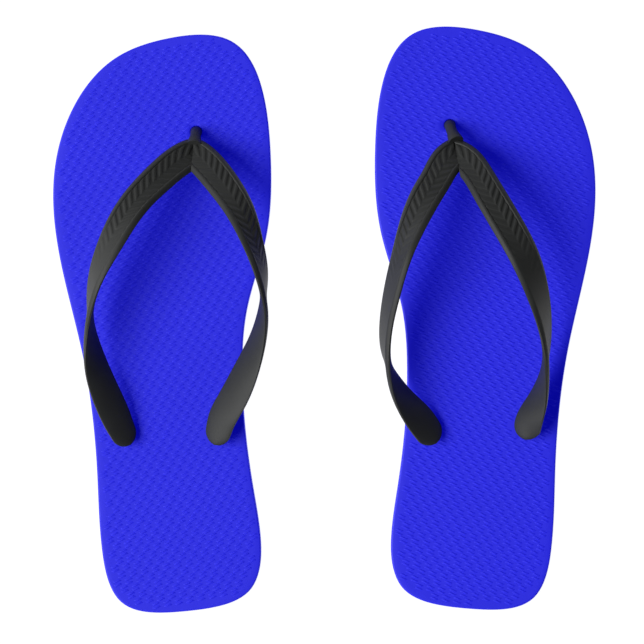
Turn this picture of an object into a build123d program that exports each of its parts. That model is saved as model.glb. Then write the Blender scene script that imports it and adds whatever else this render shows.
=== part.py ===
from build123d import *
import math
import os

# Pair of flip flops. Millimetres, +Z up, +Y towards the toes, ground at Z 0,
# origin midway between the two shoes. Each shoe is drawn as a left shoe about
# the middle of its own outline (+X is the inner side of the foot) and the right
# one is mirrored.

# --- sole ---
sole_length = 270.0
sole_width = 101.0
outsole_thickness = 4.0
midsole_thickness = 7.0
footbed_thickness = 4.0
footbed_edge_round = 1.5
outsole_edge_round = 1.0

# --- placing of the two shoes ---
shoe_spacing = 150.6
shoe_stagger = 2.7
toe_out = 0.6

# --- flex line across the ball of the foot ---
flex_y = 45.0
flex_skew = 10.0
flex_gap = 0.3

# --- tread ---
groove_width = 3.0
groove_depth = 1.2
groove_pitch = 12.0

# --- holes for the strap ---
toe_hole = (16.4, 91.0)
outer_hole = (-19.5, -50.0)
inner_hole = (24.8, -51.0)
post_diameter = 6.0
stem_diameter = 8.0
toe_plug_diameter = 16.0
side_plug_diameter = 18.0
plug_thickness = 3.0
plug_recess_depth = 4.5
plug_margin = 1.0
hole_clearance = 0.1

# --- strap ---
strap_width = 14.0
strap_thickness = 3.6
strap_rise = 30.0
strap_corner = 1.2
head_width = 15.2
tab_lift = 4.0
tab_turn = 165.0
post_top = (15.8, 84.5)
post_top_share = 0.40
post_bend = 1.0

# Outline drawn at this length and width, then scaled to the sizes above.
drawn_length = 270.0
drawn_width = 101.0
outline_points = [
    (2.0, 133.5),
    (31.0, 132.5),
    (50.5, 77.5),
    (47.5, 37.5),
    (38.5, 6.0),
    (36.0, -24.0),
    (40.5, -77.5),
    (37.5, -125.0),
    (8.5, -134.5),
    (-21.0, -130.0),
    (-30.0, -103.0),
    (-31.5, -70.0),
    (-37.5, -15.0),
    (-49.0, 39.0),
    (-48.0, 82.5),
    (-21.5, 124.5),
]

# Strap arms from the toe end to the last station before the tab:
# x, y, height of the middle of the band as a share of strap_rise, turn of the
# outer face in degrees (0 faces up, 90 faces sideways).
left_outer_arm = [
    (17.5, 79.4, 0.35, 18),
    (8.0, 75.5, 0.47, 12),
    (-0.8, 68.0, 0.63, 12),
    (-14.3, 53.3, 0.85, 28),
    (-24.0, 38.5, 0.93, 50),
    (-31.0, 23.5, 0.88, 71),
    (-34.4, 8.5, 0.72, 88),
    (-34.8, -6.5, 0.58, 104),
    (-31.6, -21.5, 0.45, 132),
    (-26.0, -36.5, 0.34, 150),
]
left_inner_arm = [
    (12.0, 79.4, 0.35, 18),
    (20.0, 75.4, 0.47, 12),
    (26.0, 68.3, 0.62, 12),
    (35.5, 53.3, 0.85, 28),
    (42.0, 38.5, 0.93, 58),
    (46.0, 23.5, 0.88, 78),
    (46.8, 8.5, 0.72, 92),
    (44.0, -6.5, 0.58, 112),
    (38.4, -21.5, 0.45, 131),
    (31.4, -36.5, 0.34, 148),
]
right_outer_arm = [
    (17.0, 77.4, 0.35, 18),
    (8.6, 72.0, 0.48, 10),
    (-0.8, 58.5, 0.73, 10),
    (-9.8, 43.5, 0.89, 22),
    (-18.3, 28.5, 0.91, 36),
    (-24.1, 13.5, 0.83, 54),
    (-27.6, -1.5, 0.67, 74),
    (-28.8, -16.5, 0.54, 89),
    (-27.2, -30.0, 0.43, 104),
    (-23.6, -40.5, 0.34, 128),
]
right_inner_arm = [
    (12.2, 77.4, 0.35, 18),
    (20.0, 72.0, 0.48, 10),
    (27.4, 58.5, 0.73, 16),
    (34.4, 43.5, 0.89, 42),
    (39.7, 28.5, 0.91, 61),
    (43.6, 13.5, 0.82, 68),
    (46.0, -1.5, 0.66, 78),
    (46.1, -16.5, 0.54, 90),
    (42.0, -31.0, 0.43, 106),
    (33.5, -42.5, 0.34, 134),
]

# --- sizes that follow from the ones above ---
scale_x = sole_width / drawn_width
scale_y = sole_length / drawn_length
sole_height = outsole_thickness + midsole_thickness + footbed_thickness
flex_line_y = flex_y * scale_y
post_hole_diameter = post_diameter + 2 * hole_clearance
stem_hole_diameter = stem_diameter + 2 * hole_clearance
toe_recess_diameter = toe_plug_diameter + 2 * plug_margin
side_recess_diameter = side_plug_diameter + 2 * plug_margin
reach = sole_length + sole_width
height_limit = 4 * (sole_height + strap_rise)


def drawn(point):
    return (point[0] * scale_x, point[1] * scale_y)


def outline_centre():
    with BuildSketch() as outline:
        with BuildLine():
            Spline(*[drawn(p) for p in outline_points], periodic=True)
        make_face()
    box = outline.sketch.bounding_box()
    return ((box.min.X + box.max.X) / 2, (box.min.Y + box.max.Y) / 2)


centre_x, centre_y = outline_centre()


def sole_slab(bottom, top):
    with BuildPart() as slab:
        with BuildSketch(Plane.XY.offset(bottom)):
            with BuildLine():
                Spline(*[drawn(p) for p in outline_points], periodic=True)
            make_face()
        extrude(amount=top - bottom)
    return slab


def hole_cutter(recess_top):
    # Plain holes through the layers, and the plug recesses from below.
    with BuildPart() as cutter:
        for point, hole, recess in (
            (toe_hole, post_hole_diameter, toe_recess_diameter),
            (outer_hole, stem_hole_diameter, side_recess_diameter),
            (inner_hole, stem_hole_diameter, side_recess_diameter),
        ):
            x, y = drawn(point)
            with Locations((x, y, 0)):
                Cylinder(
                    radius=hole / 2,
                    height=sole_height + 1,
                    align=(Align.CENTER, Align.CENTER, Align.MIN),
                )
                if recess_top > 0:
                    Cylinder(
                        radius=recess / 2,
                        height=recess_top,
                        align=(Align.CENTER, Align.CENTER, Align.MIN),
                    )
    return cutter.part


# --- footbed: the soft top sheet the foot stands on ---
def make_footbed():
    slab = sole_slab(outsole_thickness + midsole_thickness, sole_height)
    with BuildPart() as footbed:
        add(slab.part)
        rim = footbed.faces().sort_by(Axis.Z)[-1].edges()
        fillet(rim, radius=footbed_edge_round)
        add(hole_cutter(0), mode=Mode.SUBTRACT)
    return footbed.part


# --- midsole: the thick cushioning layer ---
def make_midsole():
    slab = sole_slab(outsole_thickness, outsole_thickness + midsole_thickness)
    with BuildPart() as midsole:
        add(slab.part)
        add(hole_cutter(plug_recess_depth), mode=Mode.SUBTRACT)
    return midsole.part


# --- outsole: the grooved wearing layer ---
def make_outsole():
    slab = sole_slab(0, outsole_thickness)
    with BuildPart() as outsole:
        add(slab.part)
        rim = outsole.faces().sort_by(Axis.Z)[0].edges()
        fillet(rim, radius=outsole_edge_round)
        add(hole_cutter(plug_recess_depth), mode=Mode.SUBTRACT)
        rows = int(sole_length / groove_pitch) - 1
        with Locations((centre_x, centre_y, groove_depth / 2)):
            with GridLocations(0, groove_pitch, 1, rows):
                Box(2 * sole_width, groove_width, groove_depth, mode=Mode.SUBTRACT)
    return outsole.part


# --- the half of a layer in front of (+1) or behind (-1) the flex line ---
def half(layer, side):
    slant = Location((0, flex_line_y, 0), (0, 0, flex_skew))
    with BuildPart() as piece:
        add(layer)
        with Locations(slant * Location((0, side * (reach + flex_gap / 2), 0))):
            Box(2 * reach, 2 * reach, height_limit, mode=Mode.INTERSECT)
    return piece.part


# --- strap ---
def band_frames(stations, side, tab):
    # Middle points, then a cutting plane square to the band at each of them.
    points = []
    for x, y, share, turn in stations:
        px, py = drawn((x, y))
        points.append((px, py, sole_height + share * strap_rise, turn))
    tx, ty = drawn(tab)
    points.append((tx, ty, sole_height + tab_lift, tab_turn))
    frames = []
    last = len(points) - 1
    for i in range(len(points)):
        before = Vector(*points[max(i - 1, 0)][:3])
        after = Vector(*points[min(i + 1, last)][:3])
        along = (after - before).normalized()
        if i == last:
            along = Vector(along.X, along.Y, 0).normalized()
        outward = Vector(-along.Y, along.X, 0).normalized() * side
        upward = outward.cross(along)
        if upward.Z < 0:
            upward = upward * -1
        turn = math.radians(points[i][3])
        across = outward * math.cos(turn) - upward * math.sin(turn)
        here = Plane(origin=points[i][:3], x_dir=across, z_dir=along)
        frames.append(here)
    return frames


def band(stations, side, tab):
    frames = band_frames(stations, side, tab)
    with BuildPart() as arm:
        for i, frame in enumerate(frames):
            width = strap_width
            if i < 2:
                width = head_width
            with BuildSketch(frame):
                RectangleRounded(width, strap_thickness, strap_corner)
        loft()
        # Rounded end of the tab, in the plane of the last station.
        end = frames[-1]
        flat = Plane(origin=end.origin, x_dir=end.x_dir, z_dir=end.y_dir)
        with BuildSketch(flat.offset(-strap_thickness / 2)):
            Circle(strap_width / 2)
        extrude(amount=strap_thickness)
    return arm.part


def plug(point, stem, head, top):
    # Stem from the plug up to the given height, and the plug under the sole.
    x, y = drawn(point)
    with BuildPart() as peg:
        with BuildSketch(Plane.XY.offset(plug_recess_depth - plug_thickness)):
            with Locations((x, y)):
                Circle(head / 2)
        extrude(amount=plug_thickness)
        with BuildSketch(Plane.XY.offset(plug_recess_depth - plug_thickness)):
            with Locations((x, y)):
                Circle(stem / 2)
        extrude(amount=top - plug_recess_depth + plug_thickness)
    return peg.part


def toe_post():
    # Upright through the sole, then leaning back up to the strap.
    bx, by = drawn(toe_hole)
    tx, ty = drawn(post_top)
    bend = Vector(bx, by, sole_height + post_bend)
    top = Vector(tx, ty, sole_height + post_top_share * strap_rise)
    lean = Plane(origin=bend, z_dir=top - bend)
    with BuildPart() as post:
        add(plug(toe_hole, post_diameter, toe_plug_diameter, sole_height + post_bend))
        with Locations(bend):
            Sphere(post_diameter / 2)
        with BuildSketch(lean):
            Circle(post_diameter / 2)
        extrude(amount=(top - bend).length)
        with Locations(top):
            Sphere(post_diameter / 2)
    return post.part


def make_strap(outer_arm, inner_arm):
    side_top = sole_height + tab_lift
    with BuildPart() as strap:
        add(band(outer_arm, -1, outer_hole))
        add(band(inner_arm, 1, inner_hole))
        add(toe_post())
        add(plug(outer_hole, stem_diameter, side_plug_diameter, side_top))
        add(plug(inner_hole, stem_diameter, side_plug_diameter, side_top))
    return strap.part


# --- placing: the left shoe as drawn, the right shoe mirrored ---
def place(shape, side):
    # side is -1 for the left shoe and +1 for the right shoe
    with BuildPart() as placed:
        spot = Location(
            (side * shoe_spacing / 2, side * shoe_stagger / 2, 0),
            (0, 0, -side * toe_out),
        )
        middle = Location((-centre_x, -centre_y, 0))
        if side > 0:
            middle = Location((centre_x, -centre_y, 0))
            shape = mirror(shape, about=Plane.YZ, mode=Mode.PRIVATE)
        with Locations(spot * middle):
            add(shape)
    return placed


footbed = make_footbed()
midsole = make_midsole()
outsole = make_outsole()
straps = {
    "left": make_strap(left_outer_arm, left_inner_arm),
    "right": make_strap(right_outer_arm, right_inner_arm),
}

os.makedirs("parts", exist_ok=True)
for shoe, side in (("left", -1), ("right", 1)):
    for layer_name, layer in (
        ("footbed", footbed),
        ("midsole", midsole),
        ("outsole", outsole),
    ):
        for end_name, end in (("fore", 1), ("heel", -1)):
            node = place(half(layer, end), side)
            name = shoe + "_" + layer_name + "_" + end_name
            node.part.label = name
            export_step(node.part, "parts/" + name + ".step")
    strap = place(straps[shoe], side)
    strap.part.label = shoe + "_strap"
    export_step(strap.part, "parts/" + shoe + "_strap.step")
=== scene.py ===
import math

import bmesh
import bpy
import numpy as np
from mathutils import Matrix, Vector


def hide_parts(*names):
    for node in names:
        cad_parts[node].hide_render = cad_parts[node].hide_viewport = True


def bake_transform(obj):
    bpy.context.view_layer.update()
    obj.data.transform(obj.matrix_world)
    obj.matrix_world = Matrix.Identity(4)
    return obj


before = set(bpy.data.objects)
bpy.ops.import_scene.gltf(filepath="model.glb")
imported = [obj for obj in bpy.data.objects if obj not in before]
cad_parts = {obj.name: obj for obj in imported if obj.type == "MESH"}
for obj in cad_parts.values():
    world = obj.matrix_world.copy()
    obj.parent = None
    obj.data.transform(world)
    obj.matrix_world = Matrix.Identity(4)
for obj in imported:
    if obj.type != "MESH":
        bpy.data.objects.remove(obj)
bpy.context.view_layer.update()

MM = 0.001

# --------------------------------------------------------------------------
# Sizes in millimetres. Shapes are drawn as a left shoe about the middle of its
# outline: +X is the inner side of the foot, +Y the toe end, Z up from the ground.
# --------------------------------------------------------------------------
SOLE_TOP = 15.0
MIDSOLE_TOP = 11.0
OUTSOLE_TOP = 4.0
SHOE_SPACING = 150.6
SHOE_STAGGER = 2.7
# how each shoe lies: sideways shift, turn in degrees and size against the drawing
LIE = {-1: (0.0, 0.6, 1.0), 1: (0.4, 0.3, 1.01)}
FLEX_Y = 45.0
FLEX_SKEW = 10.0
BEND_LENGTH = 56.0

HOLES = {
    -1: {"toe": (16.1, 89.8), "outer": (-19.3, -50.5), "inner": (25.2, -51.0)},
    1: {"toe": (16.1, 89.6), "outer": (-18.8, -50.5), "inner": (26.8, -51.0)},
}
FOOTBED_EDGE_RADIUS = 0.8
TREAD_EDGE_RADIUS = 1.0
LAYER_ROWS = 150
LAYER_COLUMNS = 26
HOLE_SEGMENTS = 48
PLUG_SEGMENTS = 64

POST_HOLE_RADIUS = 2.8
POST_RADIUS = 2.7
STEM_RADIUS = 4.0
STEM_HOLE_RADIUS = 4.1
TOE_RECESS_RADIUS = 9.0
SIDE_RECESS_RADIUS = 10.0
TOE_PLUG_RADIUS = 8.0
SIDE_PLUG_RADIUS = 9.0
PLUG_BOTTOM = 1.5
PLUG_TOP = 4.5

OUTLINE = [
    (2.0, 133.5), (32.0, 132.7), (50.8, 78.0), (47.6, 37.5),
    (38.8, 6.0), (36.4, -24.0), (41.0, -77.5), (38.6, -125.5),
    (8.5, -134.6), (-21.3, -130.0), (-30.3, -103.0), (-31.9, -70.0),
    (-38.0, -15.0), (-49.6, 39.0), (-48.6, 82.5), (-21.8, 124.5),
]

# Each arm of a strap: x, y, height of the band's middle above the footbed, turn
# of the outer face in degrees (0 up, 90 sideways, 180 over), width of the band.
# The first station lies past the valley where the two arms meet.
ARMS = {
    "left": {
        "outer": [
            (22.5, 79.6, 6.6, 18, 15.4),
            (14.8, 79.0, 10.5, 18, 15.4),
            (8.0, 75.5, 14.2, 14, 15.4),
            (-0.8, 68.0, 19.0, 12, 15.0),
            (-8.0, 60.8, 23.0, 18, 14.8),
            (-14.1, 53.3, 26.0, 25, 15.0),
            (-22.8, 38.5, 28.5, 38, 15.0),
            (-29.7, 23.5, 25.5, 59, 14.4),
            (-33.1, 8.5, 19.8, 83, 14.0),
            (-33.2, -6.5, 15.8, 110, 14.4),
            (-30.6, -21.5, 12.7, 137, 15.0),
            (-25.2, -36.5, 9.8, 149, 15.6),
            (-21.9, -44.3, 7.8, 151, 15.0),
            (-18.9, -51.0, 5.9, 153, 13.2),
            (-16.2, -56.3, 4.6, 155, 12.2),
        ],
        "inner": [
            (7.0, 79.8, 6.6, 18, 15.4),
            (14.8, 79.2, 10.5, 18, 15.4),
            (20.0, 75.4, 14.0, 14, 15.6),
            (26.1, 68.3, 18.6, 14, 15.7),
            (31.5, 60.8, 22.6, 18, 15.3),
            (36.0, 53.3, 26.0, 27, 15.0),
            (42.0, 38.5, 28.5, 49, 14.6),
            (46.0, 23.5, 25.5, 69, 14.2),
            (46.8, 8.5, 19.8, 98, 14.4),
            (44.3, -6.5, 15.8, 120, 14.4),
            (38.8, -21.5, 12.7, 139, 15.4),
            (31.4, -36.5, 9.8, 149, 15.8),
            (27.1, -44.3, 7.8, 151, 15.0),
            (24.9, -51.2, 5.9, 153, 13.2),
            (23.5, -56.7, 4.6, 155, 12.2),
        ],
    },
    "right": {
        "outer": [
            (21.5, 76.2, 6.6, 18, 15.4),
            (13.8, 75.3, 10.5, 18, 15.4),
            (7.8, 71.2, 14.2, 12, 14.8),
            (3.5, 65.2, 18.0, 8, 14.2),
            (-0.6, 57.9, 22.0, 9, 14.5),
            (-9.0, 43.0, 27.2, 15, 15.0),
            (-16.8, 28.2, 28.6, 25, 15.2),
            (-22.5, 13.3, 25.0, 41, 14.8),
            (-25.9, -1.5, 20.0, 62, 14.2),
            (-26.9, -16.3, 16.2, 84, 14.2),
            (-25.7, -28.7, 13.0, 104, 14.4),
            (-22.9, -39.1, 10.2, 127, 14.9),
            (-20.0, -46.2, 8.2, 144, 14.6),
            (-18.5, -51.8, 5.9, 152, 13.6),
            (-18.0, -56.2, 4.8, 155, 12.4),
        ],
        "inner": [
            (6.0, 76.4, 6.6, 18, 15.4),
            (13.8, 75.7, 10.5, 18, 15.4),
            (18.8, 71.5, 14.2, 12, 15.2),
            (22.5, 65.2, 18.0, 12, 14.8),
            (26.9, 57.9, 22.0, 16, 14.8),
            (34.1, 43.0, 27.2, 35, 14.6),
            (39.4, 28.2, 28.6, 52, 14.2),
            (43.3, 13.3, 24.6, 60, 14.2),
            (46.0, -1.5, 19.8, 69, 14.2),
            (46.2, -16.3, 16.2, 83, 14.2),
            (42.4, -29.2, 13.0, 111, 15.2),
            (37.2, -38.6, 10.4, 130, 16.0),
            (31.4, -46.1, 8.0, 144, 16.4),
            (26.6, -52.6, 5.9, 150, 14.8),
            (23.6, -57.8, 4.8, 154, 12.6),
        ],
    },
}
# The valley between the arms, from its heel end to its toe end, and the leaning
# toe post: its foot, its bend and its top inside the strap's head.
VALLEY = {"left": ((13.9, 71.0), (15.2, 85.0)), "right": ((12.3, 67.3), (15.1, 82.2))}
POST = {
    "left": [(16.1, 89.8, 13.0), (16.1, 89.5, 15.8), (15.9, 87.4, 21.0), (15.3, 83.0, 25.0)],
    "right": [(16.1, 89.6, 13.0), (16.1, 89.2, 15.8), (15.4, 86.4, 20.5), (13.6, 81.6, 24.5)],
}

# Band section: thickness of the outer side and of the inner side at the middle,
# of the thin edge, the sloping shoulder of the outer side, and the length of the
# rounded tip. The chevrons fade out between two distances from the valley.
BAND_OUTER = 1.75
BAND_INNER = 1.55
BAND_EDGE = 0.35
SHOULDER = 2.1
BAND_TIP = 6.3
FIELD_DEPTH = 0.4
CHEVRON_PITCH = 4.1
CHEVRON_HEIGHT = 0.4
CHEVRON_INNER_SHARE = 0.45
CHEVRON_FADE = (52.0, 84.0)

# Lattice of the embossed footbed and of the tread.
GRAIN_COLUMNS = 5.32
GRAIN_ROWS = 6.8
GRAIN_TURN = 9.6
GRAIN_LENGTH = 3.9
GRAIN_WIDTH = 1.3
GRAIN_HEIGHT = 0.22
GRAIN_PITCH = 1.72
GRAIN_WAVE = 0.24
GRAIN_MARGIN = 3.0
LUG_COLUMNS = 10.4
LUG_ROWS = 18.0
LUG_RADIUS = 4.4
LUG_HEIGHT = 1.2
LUG_MARGIN = 10.5

SIDES = {"left": -1, "right": 1}


# --------------------------------------------------------------------------
# Places
# --------------------------------------------------------------------------
def to_world(points, side):
    """Left-shoe millimetres to metres in the pair's frame; side +1 mirrors."""
    p = np.array(points, dtype=float).reshape(-1, 3)
    shift, turn, size = LIE[side]
    x = (p[:, 0] - CENTRE[0]) * (-side) * size
    y = (p[:, 1] - CENTRE[1]) * size
    c, s = math.cos(math.radians(turn)), math.sin(math.radians(turn))
    out = np.empty_like(p)
    out[:, 0] = x * c - y * s + side * SHOE_SPACING / 2 + shift
    out[:, 1] = x * s + y * c + side * SHOE_STAGGER / 2
    out[:, 2] = p[:, 2]
    return out * MM


def closed_curve(points, count):
    """Smooth closed curve through the points: count points evenly along it."""
    p = np.array(points, dtype=float)
    n = len(p)
    step = np.linalg.norm(np.roll(p, -1, 0) - p, axis=1)
    back = np.roll(step, 1)
    a = np.zeros((n, n))
    for i in range(n):
        a[i, (i - 1) % n] = back[i]
        a[i, i] = 2 * (back[i] + step[i])
        a[i, (i + 1) % n] = step[i]
    slope = (np.roll(p, -1, 0) - p) / step[:, None]
    m = np.linalg.solve(a, 6 * (slope - np.roll(slope, 1, 0)))
    fine = []
    t = np.linspace(0, 1, 60, endpoint=False)[:, None]
    for i in range(n):
        j, h = (i + 1) % n, step[i]
        fine.append(
            p[i] * (1 - t) + p[j] * t
            + h * h / 6 * (((1 - t) ** 3 - (1 - t)) * m[i] + (t**3 - t) * m[j])
        )
    fine = np.vstack(fine)
    return even_points(np.vstack([fine, fine[:1]]), count + 1)[:-1]


def even_points(line, count):
    run = np.concatenate([[0], np.cumsum(np.linalg.norm(np.diff(line, axis=0), axis=1))])
    at = np.linspace(0, run[-1], count)
    return np.stack([np.interp(at, run, line[:, k]) for k in range(line.shape[1])], 1)


def open_curve(stations):
    """Natural cubic through the stations, which may carry more than a place.
    Returns a function of distance along, and the total length."""
    p = np.array(stations, dtype=float)
    n = len(p)
    h = np.linalg.norm(np.diff(p[:, :3], axis=0), axis=1)
    run = np.concatenate([[0], np.cumsum(h)])
    a = np.eye(n)
    b = np.zeros_like(p)
    for i in range(1, n - 1):
        a[i, i - 1], a[i, i], a[i, i + 1] = h[i - 1], 2 * (h[i - 1] + h[i]), h[i]
        b[i] = 6 * ((p[i + 1] - p[i]) / h[i] - (p[i] - p[i - 1]) / h[i - 1])
    m = np.linalg.solve(a, b)

    def at(s):
        s = np.clip(np.atleast_1d(s), 0, run[-1])
        i = np.clip(np.searchsorted(run, s, side="right") - 1, 0, n - 2)
        t = ((s - run[i]) / h[i])[:, None]
        k = (h[i] ** 2 / 6)[:, None]
        bend = ((1 - t) ** 3 - (1 - t)) * m[i] + (t**3 - t) * m[i + 1]
        return p[i] * (1 - t) + p[i + 1] * t + k * bend

    return at, run[-1]


def smooth(x, low=0.0, high=1.0):
    t = np.clip((np.asarray(x, dtype=float) - low) / (high - low), 0, 1)
    return t * t * (3 - 2 * t)


EDGE_POINTS = 360
rim = closed_curve(OUTLINE, EDGE_POINTS)
CENTRE = (rim.min(0) + rim.max(0)) / 2


# --------------------------------------------------------------------------
# Meshes
# --------------------------------------------------------------------------
def new_mesh_object(name, verts, faces):
    mesh = bpy.data.meshes.new(name)
    mesh.from_pydata([tuple(v) for v in verts], [], [tuple(f) for f in faces])
    mesh.update()
    obj = bpy.data.objects.new(name, mesh)
    bpy.context.scene.collection.objects.link(obj)
    return obj


def tube_faces(rings, count):
    """Faces between rings of count points that follow one another."""
    faces = []
    for i in range(rings - 1):
        near, far = i * count, (i + 1) * count
        for k in range(count):
            j = (k + 1) % count
            faces.append((near + k, near + j, far + j, far + k))
    return faces


def end_faces(rings, count):
    """The two faces that close such a tube."""
    last = (rings - 1) * count
    return [tuple(range(count)), tuple(range(last, last + count))[::-1]]


def face_outwards(obj, merge=True):
    """Turns the faces outwards. Without merging, attributes stay as they are."""
    bm = bmesh.new()
    bm.from_mesh(obj.data)
    if merge:
        bmesh.ops.remove_doubles(bm, verts=bm.verts, dist=1e-7)
    bmesh.ops.recalc_face_normals(bm, faces=bm.faces)
    bm.to_mesh(obj.data)
    bm.free()
    obj.data.update()


def soften(obj, angle):
    obj.data.shade_smooth()
    obj.data.set_sharp_from_angle(angle=math.radians(angle))


def plain_mesh(obj, name):
    """The object with its modifiers worked out, as a plain mesh object."""
    graph = bpy.context.evaluated_depsgraph_get()
    mesh = bpy.data.meshes.new_from_object(obj.evaluated_get(graph), depsgraph=graph)
    mesh.name = name
    done = bpy.data.objects.new(name, mesh)
    bpy.context.scene.collection.objects.link(done)
    remove(obj)
    return done


def remove(*objects):
    for obj in objects:
        data = obj.data
        bpy.data.objects.remove(obj)
        if data and data.users == 0:
            bpy.data.meshes.remove(data)


def boolean(obj, tools, operation):
    for tool in tools:
        cut = obj.modifiers.new("cut", "BOOLEAN")
        cut.operation = operation
        cut.solver = "EXACT"
        cut.object = tool
    done = plain_mesh(obj, obj.name + "_done")
    remove(*tools)
    return done


def lathe(name, profile, centre, segments, side):
    """Closed round shape from (radius, z) pairs, top to bottom, about a vertical
    line through centre, in left-shoe millimetres."""
    verts = []
    for radius, z in profile:
        for k in range(segments):
            a = 2 * math.pi * k / segments
            verts.append((centre[0] + radius * math.cos(a), centre[1] + radius * math.sin(a), z))
    rings = len(profile)
    faces = tube_faces(rings, segments)
    verts.append((centre[0], centre[1], profile[0][1]))
    verts.append((centre[0], centre[1], profile[-1][1]))
    top, bottom = len(verts) - 2, len(verts) - 1
    for k in range(segments):
        j = (k + 1) % segments
        faces.append((top, j, k))
        faces.append((bottom, (rings - 1) * segments + k, (rings - 1) * segments + j))
    obj = new_mesh_object(name, to_world(verts, side), faces)
    face_outwards(obj)
    return obj


# --- sole layers: rounded slabs on one outline, meshed in rows across the foot
def rim_rows():
    """Outline as matched left-hand and right-hand runs from toe tip to heel tip."""
    toe, heel = int(np.argmax(rim[:, 1])), int(np.argmin(rim[:, 1]))
    n = len(rim)
    order = [(toe + i) % n for i in range(n)]
    cut = order.index(heel)
    one = rim[order[: cut + 1]]
    other = rim[[order[0]] + order[: cut - 1 : -1]]
    return even_points(one, LAYER_ROWS + 1), even_points(other, LAYER_ROWS + 1)


def inward_from(loop):
    """Unit vectors square to a closed loop, pointing into it."""
    before, after = np.roll(loop, 1, 0), np.roll(loop, -1, 0)
    along = (after - before) / np.linalg.norm(after - before, axis=1)[:, None]
    inward = np.stack([along[:, 1], -along[:, 0]], 1)
    if ((loop.mean(0) - loop) * inward).sum() < 0:
        inward = -inward
    return inward


def layer(name, wall, side):
    """Slab whose wall is a list of (inset, z) from its top edge to its bottom."""
    one, other = rim_rows()
    rows, columns = LAYER_ROWS, LAYER_COLUMNS
    loop = np.vstack([one, other[-2:0:-1]])
    inward = inward_from(loop)
    n = len(loop)
    verts = []
    for inset, z in wall:
        ring = loop + inward * inset
        verts.extend((x, y, z) for x, y in ring)
    faces = tube_faces(len(wall), n)

    def cover(ring_start, z):
        def rim_index(row, far):
            if far:
                return ring_start + (n - row) % n
            return ring_start + row

        last = None
        for row in range(1, rows):
            a, b = rim_index(row, False), rim_index(row, True)
            pa, pb = np.array(verts[a]), np.array(verts[b])
            here = [a]
            for c in range(1, columns):
                t = c / columns
                verts.append(tuple(pa * (1 - t) + pb * t))
                here.append(len(verts) - 1)
            here.append(b)
            if last is None:
                tip = rim_index(0, False)
                for c in range(columns):
                    faces.append((tip, here[c], here[c + 1]))
            else:
                for c in range(columns):
                    faces.append((last[c], here[c], here[c + 1], last[c + 1]))
            last = here
        tip = rim_index(rows, False)
        for c in range(columns):
            faces.append((tip, last[c + 1], last[c]))

    cover(0, wall[0][1])
    cover((len(wall) - 1) * n, wall[-1][1])
    obj = new_mesh_object(name, to_world(verts, side), faces)
    face_outwards(obj)
    return obj


def rounded(z, radius, upwards):
    """(inset, z) pairs round an edge, from the flat face to the wall."""
    steps = 5
    turn = [math.pi / 2 * k / steps for k in range(steps + 1)]
    sign = 1 if upwards else -1
    return [(radius * (1 - math.sin(a)), z - sign * radius * (1 - math.cos(a))) for a in turn]


def hole_cutters(side, top, dish=False):
    """Cutters for the three strap holes of a layer with this top: a shallow dish
    round each on the footbed, or else a plug recess from below."""
    cutters = []
    for which, hole, recess in (
        ("toe", POST_HOLE_RADIUS, TOE_RECESS_RADIUS),
        ("outer", STEM_HOLE_RADIUS, SIDE_RECESS_RADIUS),
        ("inner", STEM_HOLE_RADIUS, SIDE_RECESS_RADIUS),
    ):
        if dish:
            profile = [(hole + 0.8, top + 1.0), (hole + 0.5, top), (hole + 0.15, top - 0.2),
                       (hole, top - 0.6), (hole, MIDSOLE_TOP - 1.0)]
        else:
            profile = [(hole, top + 1.0), (hole, PLUG_TOP), (recess - 0.4, PLUG_TOP),
                       (recess, PLUG_TOP - 0.4), (recess, -1.0)]
        cutters.append(lathe("cutter", profile, HOLES[side][which], HOLE_SEGMENTS, side))
    return cutters


# --------------------------------------------------------------------------
# Geometry Nodes
# --------------------------------------------------------------------------
class Tree:
    """A Geometry Nodes tree with named inputs, built one node at a time."""

    def __init__(self, name, inputs):
        self.tree = bpy.data.node_groups.new(name, "GeometryNodeTree")
        face = self.tree.interface
        face.new_socket(name="Geometry", in_out="INPUT", socket_type="NodeSocketGeometry")
        for label, kind, value in inputs:
            socket = face.new_socket(name=label, in_out="INPUT", socket_type="NodeSocket" + kind)
            if value is not None:
                socket.default_value = value
        face.new_socket(name="Geometry", in_out="OUTPUT", socket_type="NodeSocketGeometry")
        self.input = self.tree.nodes.new("NodeGroupInput").outputs
        self.result = self.tree.nodes.new("NodeGroupOutput").inputs

    def node(self, kind, settings=None, **values):
        made = self.tree.nodes.new(kind)
        for key, value in (settings or {}).items():
            setattr(made, key, value)
        for key, value in values.items():
            label = int(key[1:]) if key[1:].isdigit() else key.replace("_", " ")
            socket = made.inputs[label]
            if isinstance(value, bpy.types.NodeSocket):
                self.tree.links.new(value, socket)
            else:
                socket.default_value = value
        return made.outputs

    def maths(self, operation, a, b=0.0, c=0.0):
        return self.node("ShaderNodeMath", {"operation": operation}, _0=a, _1=b, _2=c)[0]


def run_tree(obj, group, values, name):
    """Applies the tree to obj with these inputs and returns the plain result."""
    modifier = obj.modifiers.new("tree", "NODES")
    modifier.node_group = group
    for item in group.interface.items_tree:
        if item.item_type == "SOCKET" and item.in_out == "INPUT" and item.name in values:
            modifier[item.identifier] = values[item.name]
    return plain_mesh(obj, name)


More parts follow.
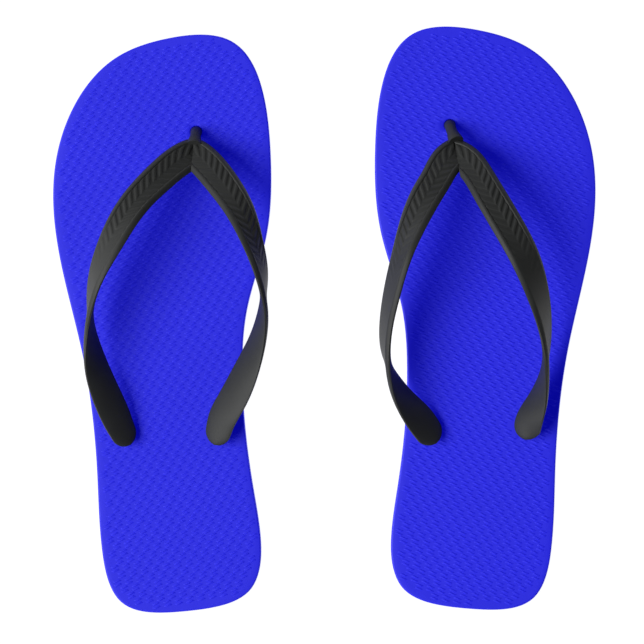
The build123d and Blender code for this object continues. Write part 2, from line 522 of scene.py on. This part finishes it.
def make_scatter_tree():
    """Stands a copy of a small shape at each point of a staggered lattice that
    lies over the field: footbed grains and tread lugs."""
    t = Tree("staggered_lattice", [
        ("Field", "Object", None), ("Shape", "Object", None), ("Finish", "Material", None),
        ("Length", "Float", 0.3), ("Columns", "Float", 0.005), ("Rows", "Float", 0.007),
        ("Turn", "Float", 0.0), ("Shape Turn", "Float", 0.0), ("Level", "Float", 0.0),
        ("Centre", "Vector", (0, 0, 0)), ("Size Variation", "Float", 0.03), ("Seed", "Int", 7),
    ])
    i = t.input
    lattices = []
    for shift in (0.0, 0.5):
        across = t.maths("ADD", t.maths("FLOOR", t.maths("DIVIDE", i["Length"], i["Columns"])), 1.0)
        up = t.maths("ADD", t.maths("FLOOR", t.maths("DIVIDE", i["Length"], i["Rows"])), 1.0)
        grid = t.node("GeometryNodeMeshGrid", None,
                      Size_X=t.maths("MULTIPLY", i["Columns"], t.maths("SUBTRACT", across, 1.0)),
                      Size_Y=t.maths("MULTIPLY", i["Rows"], t.maths("SUBTRACT", up, 1.0)),
                      Vertices_X=across, Vertices_Y=up)
        move = t.node("ShaderNodeCombineXYZ", None,
                      X=t.maths("MULTIPLY", i["Columns"], shift), Y=t.maths("MULTIPLY", i["Rows"], shift))
        lattices.append(t.node("GeometryNodeTransform", None, Geometry=grid["Mesh"], Translation=move[0])[0])
    both = t.tree.nodes.new("GeometryNodeJoinGeometry")
    for geometry in lattices:
        t.tree.links.new(geometry, both.inputs[0])
    turn = t.node("ShaderNodeCombineXYZ", None, Z=i["Turn"])
    lattice = t.node("GeometryNodeTransform", None, Geometry=both.outputs[0],
                     Translation=i["Centre"], Rotation=turn[0])[0]
    # a point is kept where a ray straight down meets the field
    field = t.node("GeometryNodeObjectInfo", {"transform_space": "ORIGINAL"}, Object=i["Field"])
    place = t.node("GeometryNodeInputPosition")[0]
    above = t.node("ShaderNodeVectorMath", {"operation": "ADD"}, _0=place, _1=(0, 0, 1.0))[0]
    ray = t.node("GeometryNodeRaycast", {"data_type": "FLOAT"}, Target_Geometry=field["Geometry"],
                 Source_Position=above, Ray_Direction=(0, 0, -1.0), Ray_Length=3.0)
    outside = t.node("FunctionNodeBooleanMath", {"operation": "NOT"}, _0=ray["Is Hit"])[0]
    kept = t.node("GeometryNodeDeleteGeometry", {"domain": "POINT"}, Geometry=lattice, Selection=outside)[0]
    points = t.node("GeometryNodeMeshToPoints", None, Mesh=kept)[0]
    level = t.node("ShaderNodeCombineXYZ", None, Z=i["Level"])
    points = t.node("GeometryNodeSetPosition", None, Geometry=points, Offset=level[0])[0]
    shape = t.node("GeometryNodeObjectInfo", {"transform_space": "ORIGINAL"},
                   Object=i["Shape"], As_Instance=True)
    low = t.maths("SUBTRACT", 1.0, i["Size Variation"])
    high = t.maths("ADD", 1.0, i["Size Variation"])
    size = t.node("FunctionNodeRandomValue", {"data_type": "FLOAT"}, _2=low, _3=high, Seed=i["Seed"])
    scale = t.node("ShaderNodeCombineXYZ", None, X=size[1], Y=size[1], Z=size[1])
    spin = t.node("ShaderNodeCombineXYZ", None, Z=i["Shape Turn"])
    copies = t.node("GeometryNodeInstanceOnPoints", None, Points=points, Instance=shape["Geometry"],
                    Rotation=spin[0], Scale=scale[0])[0]
    solid = t.node("GeometryNodeRealizeInstances", None, Geometry=copies)[0]
    finished = t.node("GeometryNodeSetMaterial", None, Geometry=solid, Material=i["Finish"])[0]
    t.tree.links.new(finished, t.result[0])
    return t.tree


def make_chevron_tree():
    """Presses the bordered herringbone relief into the outer face of a band that
    carries its own distances along, across and in from the edge."""
    t = Tree("pressed_chevrons", [
        ("Finish", "Material", None), ("Pitch", "Float", 3.0), ("Height", "Float", 0.4),
        ("Border", "Float", 2.3), ("Field Depth", "Float", 0.4), ("Slant", "Float", 1.0),
        ("Inner Share", "Float", 0.5),
        ("Fade Start", "Float", 50.0), ("Fade End", "Float", 80.0), ("Unit", "Float", 0.001),
    ])
    i = t.input

    def read(label, kind="FLOAT"):
        return t.node("GeometryNodeInputNamedAttribute", {"data_type": kind}, Name=label)[0]

    def ramp(value, low, high):
        made = t.node("ShaderNodeMapRange", {"interpolation_type": "SMOOTHSTEP"}, _0=value, _1=low, _2=high)
        return made[0]

    along, across, edge, outer = read("along"), read("across"), read("edge"), read("outer")
    fade = t.maths("SUBTRACT", 1.0, ramp(along, i["Fade Start"], i["Fade End"]))
    fade = t.maths("MULTIPLY", fade, outer)
    inside = ramp(edge, i["Border"], t.maths("ADD", i["Border"], 0.45))
    ribs = ramp(edge, t.maths("ADD", i["Border"], 0.25), t.maths("ADD", i["Border"], 0.8))
    reach = t.maths("MULTIPLY", t.maths("ABSOLUTE", across), i["Slant"])
    phase = t.maths("DIVIDE", t.maths("ADD", along, reach), i["Pitch"])
    wave = t.maths("COSINE", t.maths("MULTIPLY", phase, 2 * math.pi))
    rib = ramp(wave, -0.55, 0.45)
    sink = t.maths("MULTIPLY", t.maths("MULTIPLY", inside, i["Field Depth"]), -1.0)
    strong = t.maths("ADD", i["Inner Share"], t.maths(
        "MULTIPLY", ramp(across, -0.6, 0.6), t.maths("SUBTRACT", 1.0, i["Inner Share"])))
    lift = t.maths("MULTIPLY", t.maths("MULTIPLY", rib, ribs), t.maths("MULTIPLY", strong, i["Height"]))
    depth = t.maths("MULTIPLY", t.maths("ADD", sink, lift), t.maths("MULTIPLY", fade, i["Unit"]))
    normal = read("lift", "FLOAT_VECTOR")
    offset = t.node("ShaderNodeVectorMath", {"operation": "SCALE"}, _0=normal, Scale=depth)[0]
    pressed = t.node("GeometryNodeSetPosition", None, Geometry=i["Geometry"], Offset=offset)[0]
    whole = t.node("GeometryNodeRealizeInstances", None, Geometry=pressed)[0]
    finished = t.node("GeometryNodeSetMaterial", None, Geometry=whole, Material=i["Finish"])[0]
    t.tree.links.new(finished, t.result[0])
    return t.tree


# --------------------------------------------------------------------------
# Materials
# --------------------------------------------------------------------------
class Wire:
    """A shader socket whose sums, differences, products and quotients are nodes."""

    def __init__(self, shade, socket):
        self.shade, self.socket = shade, socket

    def _join(self, operation, a, b):
        return self.shade.maths(operation, a, b)

    def __add__(self, other):
        return self._join("ADD", self, other)

    def __radd__(self, other):
        return self._join("ADD", other, self)

    def __sub__(self, other):
        return self._join("SUBTRACT", self, other)

    def __rsub__(self, other):
        return self._join("SUBTRACT", other, self)

    def __mul__(self, other):
        return self._join("MULTIPLY", self, other)

    def __rmul__(self, other):
        return self._join("MULTIPLY", other, self)

    def __truediv__(self, other):
        return self._join("DIVIDE", self, other)

    def __rtruediv__(self, other):
        return self._join("DIVIDE", other, self)


class Shade:
    """A material with a Principled shader, and one method that adds any node."""

    def __init__(self, name, **constants):
        self.material = bpy.data.materials.new(name)
        self.material.use_nodes = True
        self.tree = self.material.node_tree
        self.tree.nodes.clear()
        self.shader = self.tree.nodes.new("ShaderNodeBsdfPrincipled")
        out = self.tree.nodes.new("ShaderNodeOutputMaterial")
        self.tree.links.new(self.shader.outputs[0], out.inputs[0])
        for key, value in constants.items():
            self.shader.inputs[key.replace("_", " ")].default_value = value

    def node(self, kind, settings=None, sockets=None, output=0):
        made = self.tree.nodes.new(kind)
        for key, value in (settings or {}).items():
            setattr(made, key, value)
        for key, value in (sockets or {}).items():
            self.feed(made.inputs[key], value)
        return Wire(self, made.outputs[output])

    def feed(self, socket, value):
        if isinstance(value, Wire):
            self.tree.links.new(value.socket, socket)
        else:
            socket.default_value = value

    def maths(self, operation, *values):
        return self.node("ShaderNodeMath", {"operation": operation}, dict(enumerate(values)))

    def noise(self, place, scale, detail=3.0, rough=0.5):
        return self.node("ShaderNodeTexNoise", {"noise_dimensions": "3D"},
                         {"Vector": place, "Scale": scale, "Detail": detail, "Roughness": rough})

    def grains(self, place, scale):
        return self.node("ShaderNodeTexVoronoi", {"feature": "F1"}, {"Vector": place, "Scale": scale})

    def spread(self, value, low, high):
        return self.node("ShaderNodeMapRange", {"interpolation_type": "SMOOTHSTEP"},
                         {0: value, 1: low, 2: high})

    def blend_colours(self, amount, first, second):
        return self.node("ShaderNodeMix", {"data_type": "RGBA"}, {0: amount, 6: first, 7: second}, output=2)

    def bump(self, height, distance, strength=1.0, normal=None):
        sockets = {"Height": height, "Distance": distance, "Strength": strength}
        if normal is not None:
            sockets["Normal"] = normal
        return self.node("ShaderNodeBump", None, sockets)

    def object_place(self):
        return self.node("ShaderNodeTexCoord", output=3)

    def set(self, name, value):
        self.feed(self.shader.inputs[name], value)


# painted glow: strength of the blue emission that brightens the blue rubber in shade and shadow
PAINTED_SHADE_GLOW = 0.26


def blue_rubber(name, lit, deep, fine, rough):
    """Rubber dyed blue: matt, faintly mottled, with a pored skin, and a painted glow,
    a faint blue emission that keeps its shaded and shadowed parts bright blue."""
    # the blue emission here is painted glow that lifts shaded blue, not a property of the rubber
    s = Shade(name, Specular_IOR_Level=0.6, Emission_Color=(0.0, 0.0, 1.0, 1.0), Emission_Strength=PAINTED_SHADE_GLOW)
    place = s.object_place()
    cloud = s.spread(s.noise(place, 22.0, 2.0), 0.3, 0.7)
    speck = s.spread(s.noise(place, 900.0, 2.0), 0.35, 0.65)
    pores = s.spread(s.grains(place, 1500.0), 0.0, 0.35)
    tone = cloud * 0.55 + speck * 0.3 + pores * 0.15
    s.set("Base Color", s.blend_colours(tone, deep, lit))
    s.set("Roughness", rough + (1 - cloud) * 0.05 + speck * 0.05)
    skin = s.noise(place, 1300.0, 3.0, 0.6) * 0.6 + pores * 0.4
    waves = s.noise(place, 120.0, 2.0)
    first = s.bump(waves, 0.0002, 0.25)
    s.set("Normal", s.bump(skin, fine, 0.5, first))
    return s.material


def black_rubber(name):
    """Moulded strap rubber: near black, satin, with a spark-eroded mould grain
    and slightly greyer, smoother high spots."""
    s = Shade(name, Specular_IOR_Level=0.32)
    place = s.object_place()
    cloud = s.spread(s.noise(place, 60.0, 2.0), 0.3, 0.7)
    grain = s.noise(place, 2200.0, 3.0, 0.65)
    pits = s.spread(s.grains(place, 1900.0), 0.05, 0.4)
    tone = cloud * 0.6 + pits * 0.4
    s.set("Base Color", s.blend_colours(tone, (0.027, 0.0285, 0.0278, 1), (0.035, 0.0368, 0.0359, 1)))
    s.set("Roughness", 0.5 + cloud * 0.05 + (1 - pits) * 0.05)
    s.set("Normal", s.bump(grain * 0.6 + pits * 0.4, 0.00004, 0.5))
    return s.material


footbed_blue = blue_rubber(
    "dyed_footbed_rubber", lit=(0.0165, 0.0172, 0.75, 1), deep=(0.014, 0.0147, 0.68, 1),
    fine=0.00005, rough=0.56)
midsole_blue = blue_rubber(
    "dyed_foam_rubber", lit=(0.0165, 0.0172, 0.73, 1), deep=(0.014, 0.0147, 0.65, 1),
    fine=0.00008, rough=0.58)
tread_blue = blue_rubber(
    "dyed_tread_rubber", lit=(0.0155, 0.0162, 0.69, 1), deep=(0.013, 0.0137, 0.6, 1),
    fine=0.00006, rough=0.58)
strap_black = black_rubber("moulded_strap_rubber")


# --------------------------------------------------------------------------
# Strap
# --------------------------------------------------------------------------
def outer_height(edge):
    """Height of the band's outer side above its middle plane."""
    shoulder = np.sin(np.clip(edge / SHOULDER, 0, 1) * math.pi / 2) ** 0.9
    return BAND_EDGE + (BAND_OUTER - BAND_EDGE) * shoulder


def inner_height(u):
    """Depth of its inner side, from -1 at one edge to 1 at the other."""
    return -(BAND_EDGE + (BAND_INNER - BAND_EDGE) * (1 - u**2) ** 0.75)


def band_rows(length):
    """Distances of the rows along an arm: close together under the relief."""
    fine = np.arange(0, CHEVRON_FADE[1] + 6, 0.36)
    coarse = np.arange(fine[-1] + 1.0, length - BAND_TIP - 0.2, 1.0)
    tip = length - BAND_TIP * np.cos(np.linspace(0, math.pi / 2, 22))[:-1]
    return np.concatenate([fine, coarse, tip, [length - 0.02]])


def make_arm(name, stations, side, arm_sign):
    at, length = open_curve(stations)
    s = band_rows(length)
    p = at(s)
    eps = 0.05
    ahead, behind = at(s + eps)[:, :3], at(s - eps)[:, :3]
    along = ahead - behind
    along /= np.linalg.norm(along, axis=1)[:, None]
    flat = along.copy()
    flat[:, 2] = 0
    flat /= np.linalg.norm(flat, axis=1)[:, None]
    outward = np.stack([-flat[:, 1], flat[:, 0], np.zeros(len(s))], 1) * arm_sign
    upward = np.cross(outward, along)
    upward *= np.sign(upward[:, 2:3])
    upward /= np.linalg.norm(upward, axis=1)[:, None]
    turn = np.radians(p[:, 3])[:, None]
    across = outward * np.cos(turn) - upward * np.sin(turn)
    face = upward * np.cos(turn) + outward * np.sin(turn)

    # rounded tip: the band narrows over its last stretch
    left = length - s
    narrow = np.where(left < BAND_TIP, np.sqrt(np.clip(1 - (1 - left / BAND_TIP) ** 2, 0, 1)), 1.0)
    width = p[:, 4] * np.clip(narrow, 0.03, 1)
    thin = np.clip(narrow, 0.12, 1) ** 0.35

    # across the band: outer side from edge to edge, then back along the inner one
    half_u = np.concatenate([np.linspace(0, 0.36, 12), np.linspace(0.375, 1, 20)])
    u_outer = np.concatenate([-1 + half_u, 1 - half_u[-2::-1]])
    u_inner = np.cos(np.linspace(0, math.pi, 27))[1:-1]
    u = np.concatenate([u_outer, u_inner])
    ring, rings = len(u), len(s)
    verts, spread, edge_run = [], [], []
    for r in range(rings):
        half = width[r] / 2
        middle = p[r, :3] + np.array([0, 0, SOLE_TOP])
        edge = (1 - np.abs(u_outer)) * half
        height = np.concatenate([outer_height(edge), inner_height(u_inner)]) * thin[r]
        verts.extend(middle + across[r] * (u * half)[:, None] + face[r] * height[:, None])
        spread.extend(u * half)
        edge_run.extend(np.concatenate([edge, np.zeros(len(u_inner))]))
    values = {
        "along": np.repeat(s, ring),
        "across": spread,
        "edge": edge_run,
        "outer": np.tile(np.arange(ring) < len(u_outer), rings),
    }
    lifts = np.repeat(face, ring, axis=0)
    world = to_world(verts, side)
    tips = (to_world(np.array(verts) + lifts, side) - world) / MM
    obj = new_mesh_object(name, world, tube_faces(rings, ring) + end_faces(rings, ring))
    for label, numbers in values.items():
        made = obj.data.attributes.new(label, "FLOAT", "POINT")
        made.data.foreach_set("value", np.array(numbers, dtype=np.float32))
    made = obj.data.attributes.new("lift", "FLOAT_VECTOR", "POINT")
    made.data.foreach_set("vector", tips.astype(np.float32).ravel())
    return obj


def cut_at_valley(obj, shoe, side, keep_outer):
    """Keeps the part of an arm on its own side of the valley, and closes it."""
    a, b = to_world([(x, y, 0) for x, y in VALLEY[shoe]], side)
    line = Vector(b) - Vector(a)
    normal = Vector((-line.y, line.x, 0)).normalized()
    # towards the inner side of the foot
    if normal.x * (-side) < 0:
        normal = -normal
    if not keep_outer:
        normal = -normal
    overlap = 0.02 * MM
    bm = bmesh.new()
    bm.from_mesh(obj.data)
    bmesh.ops.recalc_face_normals(bm, faces=bm.faces)
    cut = bmesh.ops.bisect_plane(
        bm, geom=bm.verts[:] + bm.edges[:] + bm.faces[:], dist=1e-7,
        plane_co=Vector(a) + normal * overlap, plane_no=normal, clear_outer=True)
    edges = [e for e in cut["geom_cut"] if isinstance(e, bmesh.types.BMEdge)]
    bmesh.ops.contextual_create(bm, geom=edges)
    bmesh.ops.recalc_face_normals(bm, faces=bm.faces)
    bm.to_mesh(obj.data)
    bm.free()
    obj.data.update()


def make_post(shoe, side):
    """Round toe post: upright in its hole, then leaning back into the head."""
    at, length = open_curve(POST[shoe])
    s = np.linspace(0, length, 28)
    p = at(s)
    t = np.gradient(p, axis=0)
    t /= np.linalg.norm(t, axis=1)[:, None]
    grow = s / length
    radius = POST_RADIUS - 0.2 * np.sin(grow * math.pi) + 0.9 * smooth(grow, 0.55, 1.0)
    verts, ring = [], 32
    for r in range(len(s)):
        x = np.cross(t[r], (0, 1, 0.2))
        x /= np.linalg.norm(x)
        y = np.cross(t[r], x)
        for k in range(ring):
            a = 2 * math.pi * k / ring
            verts.append(p[r] + radius[r] * (x * math.cos(a) + y * math.sin(a)))
    faces = tube_faces(len(s), ring) + end_faces(len(s), ring)
    obj = new_mesh_object("post", to_world(verts, side), faces)
    face_outwards(obj)
    return obj


def plug_profile(stem, head, top):
    """Stem with a flat mushroom plug: soft edges, a raised ring and a sunk face."""
    return [
        (stem * 0.6, top), (stem, top - 0.6), (stem, PLUG_TOP + 0.5), (stem + 0.5, PLUG_TOP),
        (head - 0.5, PLUG_TOP), (head - 0.12, PLUG_TOP - 0.2), (head, PLUG_TOP - 0.6),
        (head, PLUG_BOTTOM + 0.9), (head - 0.25, PLUG_BOTTOM + 0.35), (head - 0.9, PLUG_BOTTOM),
        (head - 2.0, PLUG_BOTTOM), (head - 2.4, PLUG_BOTTOM + 0.5), (head * 0.45, PLUG_BOTTOM + 0.5),
        (head * 0.38, PLUG_BOTTOM + 0.15), (head * 0.1, PLUG_BOTTOM + 0.1),
    ]


def make_strap(shoe, side, chevrons):
    arms = []
    for which, sign in (("outer", -1), ("inner", 1)):
        arm = make_arm("arm", ARMS[shoe][which], side, sign)
        face_outwards(arm, merge=False)
        arm = run_tree(arm, chevrons, {
            "Finish": strap_black, "Pitch": CHEVRON_PITCH, "Height": CHEVRON_HEIGHT,
            "Border": SHOULDER + 0.25, "Field Depth": FIELD_DEPTH, "Inner Share": CHEVRON_INNER_SHARE,
            "Fade Start": CHEVRON_FADE[0], "Fade End": CHEVRON_FADE[1], "Unit": MM}, "arm_pressed")
        cut_at_valley(arm, shoe, side, which == "outer")
        arms.append(arm)
    parts = [arms[1], make_post(shoe, side)]
    holes = HOLES[side]
    profile = plug_profile(POST_RADIUS, TOE_PLUG_RADIUS, SOLE_TOP - 1.0)
    parts.append(lathe("toe_plug", profile, holes["toe"], PLUG_SEGMENTS, side))
    profile = plug_profile(STEM_RADIUS, SIDE_PLUG_RADIUS, SOLE_TOP + 5.2)
    for which in ("outer", "inner"):
        parts.append(lathe("side_plug", profile, holes[which], PLUG_SEGMENTS, side))
    strap = boolean(arms[0], parts, "UNION")
    strap.name = strap.data.name = shoe + "_strap_moulding"
    for label in ("along", "across", "edge", "outer", "lift"):
        if label in strap.data.attributes:
            strap.data.attributes.remove(strap.data.attributes[label])
    finish_piece(strap, strap_black, 42)
    return strap


def finish_piece(obj, material, angle):
    obj.data.materials.clear()
    obj.data.materials.append(material)
    soften(obj, angle)


# --------------------------------------------------------------------------
# Soles
# --------------------------------------------------------------------------
def small_lathe(name, profile, segments):
    """Prototype of a repeated shape, at the origin, in metres."""
    verts = []
    for radius, z in profile:
        for k in range(segments):
            a = 2 * math.pi * k / segments
            verts.append((radius * math.cos(a) * MM, radius * math.sin(a) * MM, z * MM))
    faces = tube_faces(len(profile), segments) + end_faces(len(profile), segments)
    obj = new_mesh_object(name, verts, faces)
    face_outwards(obj, merge=False)
    return obj


def grain_pair(name, wave_sign):
    """Two low waved ridges lying side by side, like rice grains, at the origin."""
    verts, faces, steps = [], [], 6
    for row in (-0.5, 0.5):
        first = len(verts)
        for k in range(steps + 1):
            t = -1 + 2 * k / steps
            x = t * GRAIN_LENGTH / 2
            y = row * GRAIN_PITCH + wave_sign * GRAIN_WAVE * math.sin(math.pi * t)
            w = GRAIN_WIDTH / 2 * max(0.3, (1 - t * t) ** 0.45)
            h = GRAIN_HEIGHT * max(0.0, 1 - t**4)
            for u, v in ((-1, -0.05), (-0.55, 0.72 * h), (0, h), (0.55, 0.72 * h), (1, -0.05)):
                verts.append((x * MM, (y + u * w) * MM, v * MM))
        for k in range(steps):
            a, b = first + 5 * k, first + 5 * (k + 1)
            for c in range(5):
                d = (c + 1) % 5
                faces.append((a + c, b + c, b + d, a + d))
        faces.append(tuple(range(first, first + 5)))
        faces.append(tuple(range(first + 5 * steps, first + 5 * steps + 5))[::-1])
    obj = new_mesh_object(name, verts, faces)
    face_outwards(obj, merge=False)
    return obj


def field_plate(name, side, margin, clear):
    """Flat plate marking where a lattice may stand: the outline less a margin and
    less a disc round each strap hole."""
    ring = rim + inward_from(rim) * margin
    verts = to_world([(x, y, 0) for x, y in ring], side)
    n = len(ring)
    thick = [tuple(v) for v in verts] + [(v[0], v[1], 0.001) for v in verts]
    faces = [tuple(range(n)), tuple(range(n, 2 * n))[::-1]]
    faces += [(k, (k + 1) % n, n + (k + 1) % n, n + k) for k in range(n)]
    plate = new_mesh_object(name, thick, faces)
    face_outwards(plate)
    cutters = [lathe("disc", [(r, 3.0), (r, -3.0)], spot, 40, side) for spot, r in clear]
    return boolean(plate, cutters, "DIFFERENCE")


def make_lattice(name, side, scatter, plate, proto, finish, angle, values):
    """Copies of a small shape all over a plate, as one plain mesh."""
    holder = new_mesh_object(name + "_start", [(0, 0, 0)], [])
    centre = to_world([(CENTRE[0], CENTRE[1], 0)], side)[0]
    made = run_tree(holder, scatter, {
        "Field": plate, "Shape": proto, "Finish": finish, "Centre": tuple(centre), **values}, name)
    finish_piece(made, finish, angle)
    remove(plate)
    return made


# the wall of each layer, as (inset, z) from top to bottom: a thin groove shows
# where two layers meet, the midsole is drawn in a little, and the tread has a rim
FOOTBED_WALL = rounded(SOLE_TOP, FOOTBED_EDGE_RADIUS, True) + [(0.0, 12.4), (0.02, 11.5), (0.28, 11.02)]
MIDSOLE_WALL = [
    (0.32, 10.98), (0.12, 10.6), (0.05, 9.8), (0.3, 8.4), (0.45, 7.4), (0.3, 6.2),
    (0.05, 5.0), (0.12, 4.4), (0.32, 4.02),
]
TREAD_RIM = [(5.2, 0.0), (5.5, 0.25), (5.7, 1.0), (6.0, LUG_HEIGHT)]
OUTSOLE_WALL = (
    [(0.28, 3.98), (0.05, 3.6), (0.0, 3.0)] + rounded(0.0, TREAD_EDGE_RADIUS, False)[::-1] + TREAD_RIM
)


def make_layer(shoe, side, label, wall, cutters, finish):
    slab = boolean(layer(label, wall, side), cutters, "DIFFERENCE")
    slab.name = slab.data.name = shoe + "_" + label
    finish_piece(slab, finish, 38)
    return slab


def make_sole(shoe, side, scatter, grain, lug):
    footbed = make_layer(
        shoe, side, "footbed", FOOTBED_WALL, hole_cutters(side, SOLE_TOP, dish=True), footbed_blue)
    midsole = make_layer(
        shoe, side, "midsole", MIDSOLE_WALL, hole_cutters(side, MIDSOLE_TOP), midsole_blue)
    outsole = make_layer(
        shoe, side, "outsole", OUTSOLE_WALL, hole_cutters(side, OUTSOLE_TOP), tread_blue)

    holes = HOLES[side]
    clear = [(holes["toe"], 4.6), (holes["outer"], 6.2), (holes["inner"], 6.2)]
    turn = math.radians(-side * GRAIN_TURN + LIE[side][1])
    grains = make_lattice(
        shoe + "_footbed_grains", side, scatter, field_plate("field", side, GRAIN_MARGIN, clear), grain,
        footbed_blue, 60,
        {"Columns": GRAIN_COLUMNS * MM, "Rows": GRAIN_ROWS * MM, "Turn": turn, "Shape Turn": turn,
         "Level": SOLE_TOP * MM, "Seed": 11})
    clear = [(holes["toe"], 15.0), (holes["outer"], 16.0), (holes["inner"], 16.0)]
    lugs = make_lattice(
        shoe + "_tread_lugs", side, scatter, field_plate("field", side, LUG_MARGIN, clear), lug,
        tread_blue, 38,
        {"Columns": LUG_COLUMNS * MM, "Rows": LUG_ROWS * MM, "Turn": 0.0, "Shape Turn": math.radians(30),
         "Level": 0.0, "Size Variation": 0.0, "Seed": 3})
    return footbed, grains, midsole, outsole, lugs


# --------------------------------------------------------------------------
# Build both shoes
# --------------------------------------------------------------------------
scatter = make_scatter_tree()
chevrons = make_chevron_tree()
grains = {side: grain_pair("grain", -side) for side in SIDES.values()}
lug = small_lathe("lug", [
    (LUG_RADIUS * 0.5, 0.0), (LUG_RADIUS * 0.88, 0.0), (LUG_RADIUS * 0.95, 0.12),
    (LUG_RADIUS, LUG_HEIGHT + 0.05), (LUG_RADIUS * 0.5, LUG_HEIGHT + 0.06),
], 6)

for shoe, side in SIDES.items():
    footbed, embossing, midsole, outsole, lugs = make_sole(shoe, side, scatter, grains[side], lug)
    strap = make_strap(shoe, side, chevrons)
    skew = math.radians(FLEX_SKEW)
    pivot = (0.0, FLEX_Y, SOLE_TOP)
    back = (math.sin(skew) * BEND_LENGTH, FLEX_Y - math.cos(skew) * BEND_LENGTH, SOLE_TOP)
    start, end = (tuple(v) for v in to_world([pivot, back], side))
    for piece in (footbed, embossing, midsole, outsole, lugs, strap):
        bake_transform(piece)
    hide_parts(shoe + "_footbed_fore", shoe + "_footbed_heel")
    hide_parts(shoe + "_midsole_fore", shoe + "_midsole_heel")
    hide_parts(shoe + "_outsole_fore", shoe + "_outsole_heel")
    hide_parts(shoe + "_strap")
remove(lug, *grains.values())

# --------------------------------------------------------------------------
# Floor, light and camera, in metres
# --------------------------------------------------------------------------
FLOOR_REACH = 4.0
KEY_PLACE = (-2.6, -0.5, 2.75)
KEY_SIZE = 2.8
KEY_POWER = 130.0
WALL_LIGHT = 0.55
WINDOW_SHARE = -0.8
CAMERA_PLACE = (-0.0011, -0.0005, 2.2)
VIEW_WIDTH = 0.3014
FILM_WIDTH = 36.0

corners = [(x * FLOOR_REACH, y * FLOOR_REACH, 0) for x, y in ((-1, -1), (1, -1), (1, 1), (-1, 1))]
floor = new_mesh_object("floor", corners, [(0, 1, 2, 3)])
paper = Shade("white_paper", Roughness=0.9, Specular_IOR_Level=0.1)
paper.set("Base Color", (0.12, 0.12, 0.12, 1))
paper.set("Emission Color", (1, 1, 1, 1))
paper.set("Emission Strength", 1.0)
floor.data.materials.append(paper.material)


def soft_light(name, place, size, power):
    """Round soft light, aimed at the middle of the pair."""
    data = bpy.data.lights.new(name, "AREA")
    data.shape = "DISK"
    data.size = size
    data.energy = power
    lamp = bpy.data.objects.new(name, data)
    lamp.location = place
    aim = Vector((0, 0, 0.02)) - Vector(place)
    lamp.rotation_euler = aim.to_track_quat("-Z", "Y").to_euler()
    bpy.context.scene.collection.objects.link(lamp)


soft_light("key", KEY_PLACE, KEY_SIZE, KEY_POWER)

world = bpy.data.worlds.new("studio")
world.use_nodes = True
sky = world.node_tree


def sky_node(kind, settings, sockets):
    made = sky.nodes.new(kind)
    for key, value in settings.items():
        setattr(made, key, value)
    for key, value in sockets.items():
        if isinstance(value, bpy.types.NodeSocket):
            sky.links.new(value, made.inputs[key])
        else:
            made.inputs[key].default_value = value
    return made.outputs


# bright low walls, brightest on the window side, and a dark ceiling
direction = sky_node("ShaderNodeTexCoord", {}, {})[0]
height = sky_node("ShaderNodeSeparateXYZ", {}, {0: direction})[2]
low = sky_node("ShaderNodeMath", {"operation": "SUBTRACT", "use_clamp": True}, {0: 1.0, 1: height})[0]
falloff = sky_node("ShaderNodeMath", {"operation": "POWER"}, {0: low, 1: 2.0})[0]
sideways = sky_node("ShaderNodeSeparateXYZ", {}, {0: direction})[0]
window = sky_node("ShaderNodeMath", {"operation": "MULTIPLY_ADD"}, {0: sideways, 1: WINDOW_SHARE, 2: 1.0})[0]
walls = sky_node("ShaderNodeMath", {"operation": "MULTIPLY"}, {0: falloff, 1: window})[0]
level = sky_node("ShaderNodeMath", {"operation": "MULTIPLY"}, {0: walls, 1: WALL_LIGHT})[0]
background = sky.nodes["Background"]
background.inputs[0].default_value = (1, 1, 1, 1)
sky.links.new(level, background.inputs[1])
bpy.context.scene.world = world
bpy.context.scene.view_settings.view_transform = "Standard"

camera_data = bpy.data.cameras.new("camera")
camera_data.sensor_width = FILM_WIDTH
camera_data.lens = FILM_WIDTH * (CAMERA_PLACE[2] - SOLE_TOP * MM) / VIEW_WIDTH
camera_data.clip_start = 0.05
camera = bpy.data.objects.new("camera", camera_data)
camera.location = CAMERA_PLACE
camera.rotation_euler = (0, 0, 0)
bpy.context.scene.collection.objects.link(camera)
bpy.context.scene.camera = camera
